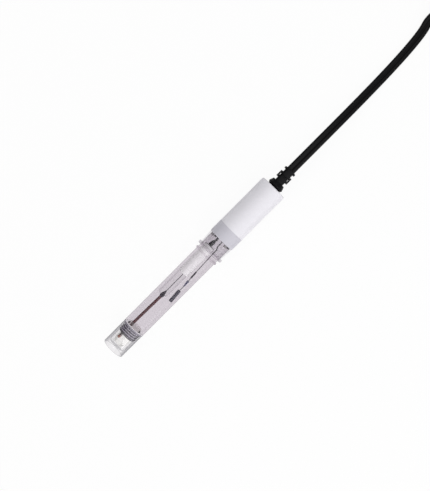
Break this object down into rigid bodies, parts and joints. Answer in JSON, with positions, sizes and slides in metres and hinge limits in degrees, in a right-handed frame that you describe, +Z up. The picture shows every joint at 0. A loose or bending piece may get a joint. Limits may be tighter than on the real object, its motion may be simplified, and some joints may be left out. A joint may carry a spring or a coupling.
{
  "type": "ph electrode",
  "caption": "Clear cylindrical pH electrode with a screw cap over its glass bulb, a grey and white head and a flat black lead that ends in a coaxial plug and a phone plug.",
  "frame": {"origin": "on the supporting surface, below the middle of the electrode's own box, without its free lead", "axes": "+X along the electrode from its cap to its head and lead, +Z up, +Y to its side"},
  "size_m": [0.5165, 0.0414, 0.0208],
  "materials": {
    "clear_cap": "clear, polished",
    "clear_stem": "clear, polished",
    "smoke_plastic": "smoke grey, glossy",
    "seal_rubber": "matte",
    "ceramic": "porous, matte",
    "ph_glass": "clear, polished",
    "tube_glass": "clear, polished",
    "silicone": "matte",
    "orange_tip": "satin",
    "maroon_rod": "satin",
    "silver_wire": "drawn",
    "white_film": "translucent, satin",
    "black_rubber": "matte",
    "grey_element": "matte",
    "blue_clip": "satin",
    "black_sleeve": "matte",
    "resin": "cast",
    "dark_pin": "matte",
    "grey_head": "satin",
    "white_head": "satin",
    "cord_sheath": "satin",
    "tie_plastic": "satin",
    "nickel_plate": "nickel plated, polished",
    "insulator": "matte",
    "gilt_pin": "gilt, polished"
  },
  "bodies": {
    "electrode": {"threaded_nose": "smoke_plastic", "junction_ring": "ceramic", "glass_bulb": "ph_glass", "bulb_plug": "silicone", "inner_tip": "orange_tip", "inner_rod": "maroon_rod", "rod_seal": "seal_rubber", "inner_tube": "tube_glass", "inner_wire": "silver_wire", "white_sleeve": "white_film", "lead_boot": "black_rubber", "core_lead": "black_rubber", "reference_element": "grey_element", "reference_wire": "silver_wire", "wire_clip": "blue_clip", "shrink_sleeve": "black_sleeve", "reference_lead": "black_sleeve", "stem_tube": "clear_stem", "stem_plug": "resin", "collar": "clear_stem", "collar_pins": "dark_pin", "head_base": "grey_head", "head_cap": "white_head", "strain_relief": "black_rubber", "cord_run": "cord_sheath", "cord_hank": "cord_sheath", "cord_tie": "tie_plastic", "cord_tail": "cord_sheath", "lead_yoke": "black_rubber", "ph_lead": "cord_sheath", "temp_lead": "cord_sheath", "plug_boot": "black_rubber", "plug_body": "nickel_plate", "snap_ring": "nickel_plate", "plug_insulator": "insulator", "plug_pin": "gilt_pin", "phone_grip": "black_rubber", "phone_shank": "nickel_plate"},
    "seal": {"cap_seal": "seal_rubber"},
    "cap": {"tip_cap": "clear_cap"},
    "bayonet": {"plug_sleeve": "nickel_plate"}
  },
  "joints": [
    {"name": "cap_turn", "type": "hinge", "parent": "electrode", "child": "seal", "pos_m": [-0.06323, 0, 0.00833], "axis": [-0.9997, 0, -0.0234], "range_deg": [0, 1476]},
    {"name": "cap_travel", "type": "slide", "parent": "seal", "child": "cap", "axis": [-0.9997, 0, -0.0234], "range_m": [0, 0.00615]},
    {"name": "bayonet_turn", "type": "hinge", "parent": "electrode", "child": "bayonet", "pos_m": [0.39227, 0.0036, 0.00725], "axis": [1, 0, 0], "continuous": true}
  ],
  "couplings": [
    {"joint": "cap_travel", "follows": "cap_turn", "m_per_rad": 0.00023873}
  ]
}
